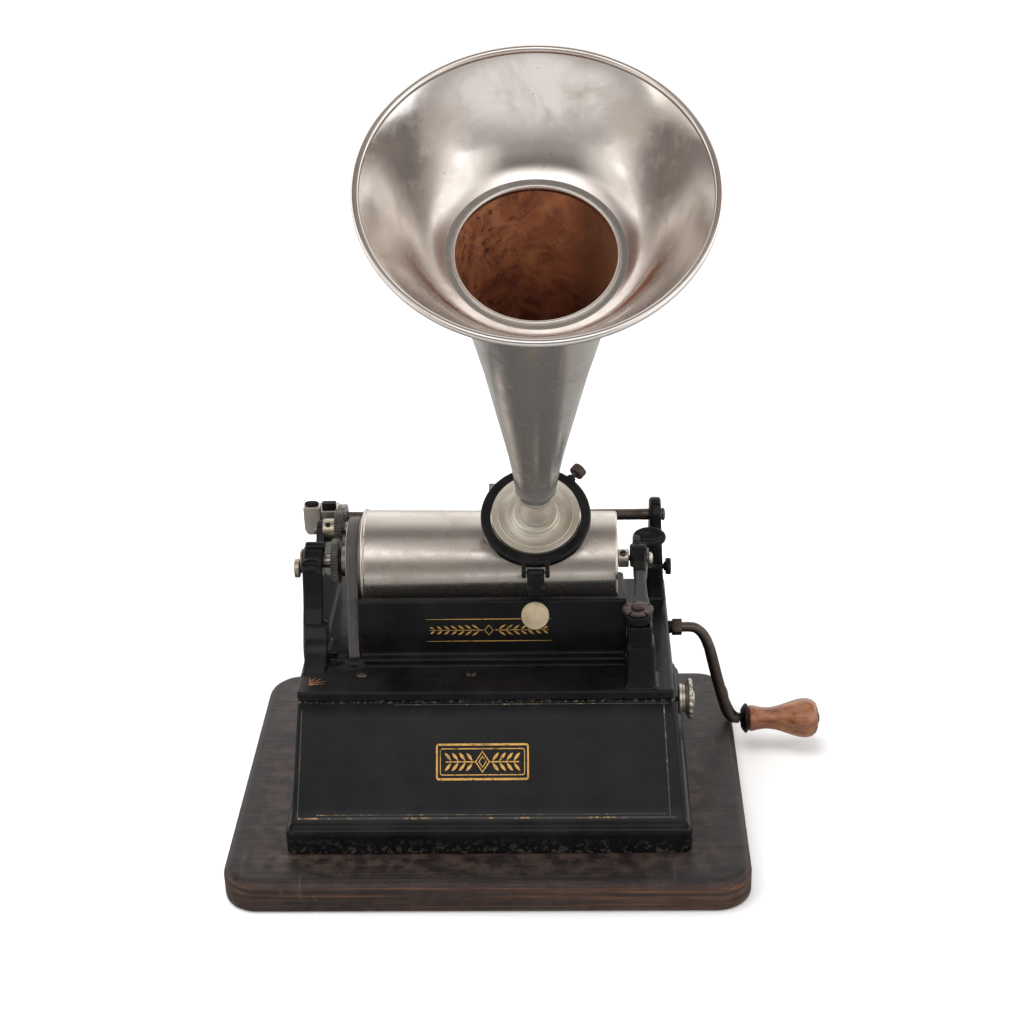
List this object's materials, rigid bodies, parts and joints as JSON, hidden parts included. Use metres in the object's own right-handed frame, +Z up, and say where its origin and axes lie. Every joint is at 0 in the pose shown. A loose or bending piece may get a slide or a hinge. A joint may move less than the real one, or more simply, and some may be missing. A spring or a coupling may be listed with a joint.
{
  "type": "wind-up cylinder phonograph",
  "caption": "Small tabletop wind-up cylinder phonograph: oak board, black iron case, nickel mandrel, geared feed screw, tilting reproducer carriage and flared nickel horn.",
  "frame": {"origin": "centre of the baseboard's flat underside", "axes": "+X to the crank side, +Y to the rear, +Z up"},
  "size_m": [0.2698, 0.265, 0.3682],
  "materials": {
    "stained_oak": "dark stained and waxed oak, worn edges",
    "black_japan": "gloss black baked japan over cast iron, gilt lining",
    "nickel_plate": "warm nickel plate, lightly tarnished",
    "bright_steel": "aged steel with brown oxide",
    "browned_steel": "browned steel screws",
    "iron": "machined cast iron",
    "brass": "dulled brass",
    "belt_leather": "dark oiled leather",
    "turned_mahogany": "red-brown varnished turned wood",
    "mica": "mica sheet",
    "gasket_rubber": "aged rubber"
  },
  "bodies": {
    "root": {"baseboard": "stained_oak", "base_screw_1": "bright_steel", "base_screw_2": "bright_steel", "base_screw_3": "bright_steel", "base_screw_4": "bright_steel", "case_casting": "black_japan", "bedplate": "black_japan", "ledge_screw_left": "browned_steel", "ledge_screw_right": "browned_steel", "end_screw": "nickel_plate", "drive_belt": "belt_leather", "idler_stud": "bright_steel", "feed_bearing_block": "nickel_plate", "block_oil_screw": "browned_steel", "block_cap_screw": "browned_steel", "gate_pivot_screw": "browned_steel", "motor_frame": "iron"},
    "mandrel_unit": {"mandrel": "nickel_plate", "mandrel_shaft": "bright_steel", "mandrel_pulley": "iron", "mandrel_gear": "brass", "mandrel_collar": "nickel_plate", "collar_set_screw": "browned_steel"},
    "idler": {"idler_gear": "brass"},
    "feed": {"feed_screw": "bright_steel", "feed_gear": "brass"},
    "pulley_unit": {"pulley_arbor": "bright_steel", "motor_pulley": "iron", "second_wheel": "brass"},
    "governor": {"governor_spindle": "bright_steel", "governor_weights": "brass"},
    "barrel": {"spring_barrel": "brass", "mainspring": "bright_steel"},
    "winding": {"barrel_arbor": "bright_steel", "winding_wheel": "brass"},
    "click": {"winding_click": "bright_steel"},
    "crank": {"crank_shaft": "bright_steel", "crank_arm": "bright_steel", "handle_spindle": "bright_steel"},
    "handle": {"crank_handle": "turned_mahogany", "handle_ferrule": "browned_steel"},
    "brake": {"brake_knob": "nickel_plate", "brake_spindle": "bright_steel"},
    "gate": {"swing_gate": "black_japan", "centre_pin": "nickel_plate"},
    "thumbscrew": {"post_thumbscrew": "browned_steel"},
    "slide": {"slide_bush": "brass"},
    "carriage_unit": {"carriage": "black_japan", "half_nut": "brass", "nut_spring": "bright_steel", "reproducer_body": "nickel_plate", "diaphragm": "mica", "diaphragm_gasket": "gasket_rubber"},
    "clamp": {"clamp_screw": "browned_steel"},
    "lever": {"lift_lever": "black_japan", "lift_button": "nickel_plate"},
    "weight": {"reproducer_weight": "brass", "stylus_lever": "bright_steel"},
    "horn": {"horn_cone": "nickel_plate", "horn_bell": "nickel_plate"}
  },
  "joints": [
    {"name": "mandrel_spin", "type": "hinge", "parent": "root", "child": "mandrel_unit", "pos_m": [0, 0.027, 0.1109], "axis": [1, 0, 0], "continuous": true},
    {"name": "idler_spin", "type": "hinge", "parent": "root", "child": "idler", "pos_m": [-0.06925, 0.04546, 0.11735], "axis": [1, 0, 0], "continuous": true},
    {"name": "feed_spin", "type": "hinge", "parent": "root", "child": "feed", "pos_m": [0, 0.061, 0.1159], "axis": [1, 0, 0], "continuous": true},
    {"name": "pulley_spin", "type": "hinge", "parent": "root", "child": "pulley_unit", "pos_m": [0, -0.00291, 0.047], "axis": [1, 0, 0], "continuous": true},
    {"name": "governor_spin", "type": "hinge", "parent": "root", "child": "governor", "pos_m": [0, -0.02101, 0.038], "axis": [1, 0, 0], "continuous": true},
    {"name": "barrel_spin", "type": "hinge", "parent": "root", "child": "barrel", "pos_m": [0, 0.02306, 0.042], "axis": [1, 0, 0], "continuous": true},
    {"name": "crank_turn", "type": "hinge", "parent": "root", "child": "crank", "pos_m": [0.084, 0.04, 0.067], "axis": [1, 0, 0], "continuous": true},
    {"name": "winding_turn", "type": "hinge", "parent": "root", "child": "winding", "pos_m": [0, 0.02306, 0.042], "axis": [1, 0, 0], "continuous": true},
    {"name": "click_swing", "type": "hinge", "parent": "root", "child": "click", "pos_m": [0.0355, 0.04406, 0.047], "axis": [-1, 0, 0], "range_deg": [0, 12]},
    {"name": "handle_spin", "type": "hinge", "parent": "crank", "child": "handle", "pos_m": [0.138, 0.04, 0.016], "axis": [1, 0, 0], "continuous": true},
    {"name": "brake_turn", "type": "hinge", "parent": "root", "child": "brake", "pos_m": [0.06, -0.01, 0.059], "axis": [-1, 0, 0], "range_deg": [0, 28]},
    {"name": "gate_swing", "type": "hinge", "parent": "root", "child": "gate", "pos_m": [0.0665, -0.022, 0.1088], "axis": [0, 0, -1], "range_deg": [0, 90]},
    {"name": "thumbscrew_turn", "type": "hinge", "parent": "root", "child": "thumbscrew", "pos_m": [0.082, 0.0566, 0.0905], "axis": [1, 0, 0], "continuous": true},
    {"name": "carriage_slide", "type": "slide", "parent": "root", "child": "slide", "axis": [1, 0, 0], "range_m": [-0.062, 0.027]},
    {"name": "carriage_lift", "type": "hinge", "parent": "slide", "child": "carriage_unit", "pos_m": [0.0228, 0.061, 0.1159], "axis": [-1, 0, 0], "range_deg": [0, 28]},
    {"name": "clamp_turn", "type": "hinge", "parent": "carriage_unit", "child": "clamp", "pos_m": [0.04061, 0.02002, 0.15726], "axis": [0.6361, 0.6328, 0.4415], "continuous": true},
    {"name": "lever_press", "type": "hinge", "parent": "carriage_unit", "child": "lever", "pos_m": [0.0228, -0.01827, 0.1286], "axis": [1, 0, 0], "range_deg": [0, 14]},
    {"name": "weight_float", "type": "hinge", "parent": "carriage_unit", "child": "weight", "pos_m": [0.0228, 0.01985, 0.14666], "axis": [1, 0, 0], "range_deg": [-3, 3]},
    {"name": "horn_swivel", "type": "hinge", "parent": "carriage_unit", "child": "horn", "pos_m": [0.0228, 0.0023, 0.1449], "axis": [0.029, -0.5719, 0.8198], "continuous": true}
  ],
  "couplings": [
    {"joint": "idler_spin", "follows": "mandrel_spin", "ratio": -1.0417},
    {"joint": "feed_spin", "follows": "mandrel_spin", "ratio": 1.6667},
    {"joint": "pulley_spin", "follows": "mandrel_spin", "ratio": 1.5019},
    {"joint": "governor_spin", "follows": "mandrel_spin", "ratio": -4.5058},
    {"joint": "barrel_spin", "follows": "mandrel_spin", "ratio": -0.46935},
    {"joint": "winding_turn", "follows": "crank_turn", "ratio": -0.36364}
  ]
}
